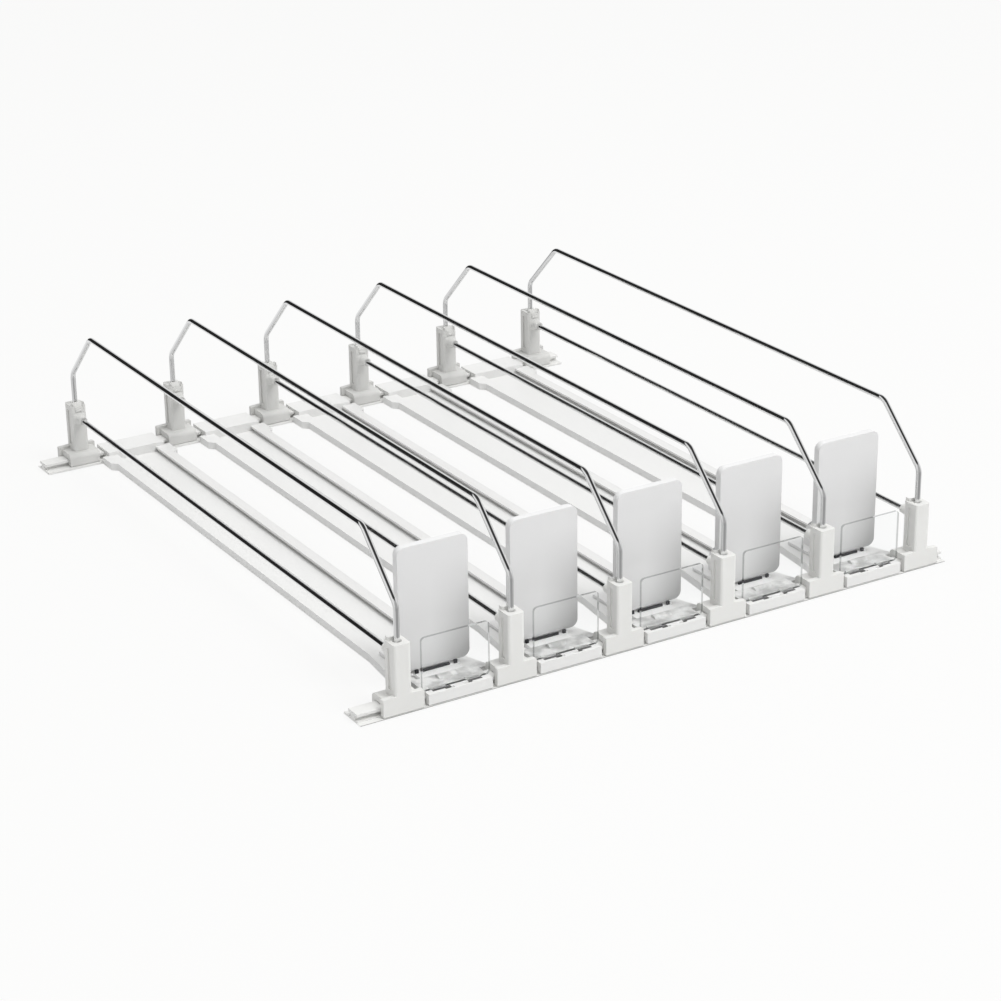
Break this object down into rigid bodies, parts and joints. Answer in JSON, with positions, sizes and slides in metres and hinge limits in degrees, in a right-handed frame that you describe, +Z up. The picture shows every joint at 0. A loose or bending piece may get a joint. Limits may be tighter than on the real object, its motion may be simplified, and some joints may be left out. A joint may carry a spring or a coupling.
{
  "type": "fridge can organizer",
  "caption": "Self-feeding shelf organizer for drink cans: clip-on tracks with spring pushers, clear front stops and wire dividers on two rails.",
  "frame": {"origin": "middle of the footprint, on the shelf that the rails lie on", "axes": "+Z up, +Y from the front stops to the rear rail, +X to the right along the rails"},
  "size_m": [0.35, 0.3932, 0.0851],
  "materials": {
    "rail": "extruded white plastic",
    "track": "moulded, slightly translucent white plastic",
    "post": "moulded white plastic, satin",
    "pusher": "moulded white plastic, satin",
    "plate": "moulded white plastic, satin",
    "stop": "clear plastic sheet with polished edges",
    "wire": "bright chrome plate",
    "spring": "rolled spring steel band"
  },
  "bodies": {
    "root": {"front_rail": "rail", "rear_rail": "rail", "track_1": "track", "spring_band_1": "spring", "front_stop_1": "stop", "track_2": "track", "spring_band_2": "spring", "front_stop_2": "stop", "track_3": "track", "spring_band_3": "spring", "front_stop_3": "stop", "track_4": "track", "spring_band_4": "spring", "front_stop_4": "stop", "track_5": "track", "spring_band_5": "spring", "front_stop_5": "stop"},
    "divider_1": {"front_post_1": "post", "rear_post_1": "post", "upper_wire_1": "wire", "lower_wire_1": "wire"},
    "divider_2": {"front_post_2": "post", "rear_post_2": "post", "upper_wire_2": "wire", "lower_wire_2": "wire"},
    "divider_3": {"front_post_3": "post", "rear_post_3": "post", "upper_wire_3": "wire", "lower_wire_3": "wire"},
    "divider_4": {"front_post_4": "post", "rear_post_4": "post", "upper_wire_4": "wire", "lower_wire_4": "wire"},
    "divider_5": {"front_post_5": "post", "rear_post_5": "post", "upper_wire_5": "wire", "lower_wire_5": "wire"},
    "divider_6": {"front_post_6": "post", "rear_post_6": "post", "upper_wire_6": "wire", "lower_wire_6": "wire"},
    "pusher_1": {"pusher_sled_1": "pusher", "pusher_plate_1": "plate"},
    "coil_1": {"spring_coil_1": "spring"},
    "pusher_2": {"pusher_sled_2": "pusher", "pusher_plate_2": "plate"},
    "coil_2": {"spring_coil_2": "spring"},
    "pusher_3": {"pusher_sled_3": "pusher", "pusher_plate_3": "plate"},
    "coil_3": {"spring_coil_3": "spring"},
    "pusher_4": {"pusher_sled_4": "pusher", "pusher_plate_4": "plate"},
    "coil_4": {"spring_coil_4": "spring"},
    "pusher_5": {"pusher_sled_5": "pusher", "pusher_plate_5": "plate"},
    "coil_5": {"spring_coil_5": "spring"}
  },
  "joints": [
    {"name": "divider_slide_1", "type": "slide", "parent": "root", "child": "divider_1", "axis": [1, 0, 0], "range_m": [-0.012, 0.0022]},
    {"name": "divider_slide_2", "type": "slide", "parent": "root", "child": "divider_2", "axis": [1, 0, 0], "range_m": [-0.0022, 0.0022]},
    {"name": "divider_slide_3", "type": "slide", "parent": "root", "child": "divider_3", "axis": [1, 0, 0], "range_m": [-0.0022, 0.0022]},
    {"name": "divider_slide_4", "type": "slide", "parent": "root", "child": "divider_4", "axis": [1, 0, 0], "range_m": [-0.0022, 0.0022]},
    {"name": "divider_slide_5", "type": "slide", "parent": "root", "child": "divider_5", "axis": [1, 0, 0], "range_m": [-0.0022, 0.0022]},
    {"name": "divider_slide_6", "type": "slide", "parent": "root", "child": "divider_6", "axis": [1, 0, 0], "range_m": [-0.0022, 0.005]},
    {"name": "pusher_slide_1", "type": "slide", "parent": "root", "child": "pusher_1", "axis": [0, 1, 0], "range_m": [0, 0.317], "stiffness_N_per_m": 1, "springref_m": -1.2},
    {"name": "coil_turn_1", "type": "hinge", "parent": "pusher_1", "child": "coil_1", "pos_m": [-0.1205, -0.1548, 0.0114], "axis": [-1, 0, 0], "range_deg": [0, 1915]},
    {"name": "pusher_slide_2", "type": "slide", "parent": "root", "child": "pusher_2", "axis": [0, 1, 0], "range_m": [0, 0.317], "stiffness_N_per_m": 1, "springref_m": -1.2},
    {"name": "coil_turn_2", "type": "hinge", "parent": "pusher_2", "child": "coil_2", "pos_m": [-0.0585, -0.1548, 0.0114], "axis": [-1, 0, 0], "range_deg": [0, 1915]},
    {"name": "pusher_slide_3", "type": "slide", "parent": "root", "child": "pusher_3", "axis": [0, 1, 0], "range_m": [0, 0.317], "stiffness_N_per_m": 1, "springref_m": -1.2},
    {"name": "coil_turn_3", "type": "hinge", "parent": "pusher_3", "child": "coil_3", "pos_m": [0.0035, -0.1548, 0.0114], "axis": [-1, 0, 0], "range_deg": [0, 1915]},
    {"name": "pusher_slide_4", "type": "slide", "parent": "root", "child": "pusher_4", "axis": [0, 1, 0], "range_m": [0, 0.317], "stiffness_N_per_m": 1, "springref_m": -1.2},
    {"name": "coil_turn_4", "type": "hinge", "parent": "pusher_4", "child": "coil_4", "pos_m": [0.0655, -0.1548, 0.0114], "axis": [-1, 0, 0], "range_deg": [0, 1915]},
    {"name": "pusher_slide_5", "type": "slide", "parent": "root", "child": "pusher_5", "axis": [0, 1, 0], "range_m": [0, 0.317], "stiffness_N_per_m": 1, "springref_m": -1.2},
    {"name": "coil_turn_5", "type": "hinge", "parent": "pusher_5", "child": "coil_5", "pos_m": [0.1275, -0.1548, 0.0114], "axis": [-1, 0, 0], "range_deg": [0, 1915]}
  ],
  "couplings": [
    {"joint": "coil_turn_1", "follows": "pusher_slide_1", "rad_per_m": 105.26},
    {"joint": "coil_turn_2", "follows": "pusher_slide_2", "rad_per_m": 105.26},
    {"joint": "coil_turn_3", "follows": "pusher_slide_3", "rad_per_m": 105.26},
    {"joint": "coil_turn_4", "follows": "pusher_slide_4", "rad_per_m": 105.26},
    {"joint": "coil_turn_5", "follows": "pusher_slide_5", "rad_per_m": 105.26}
  ]
}
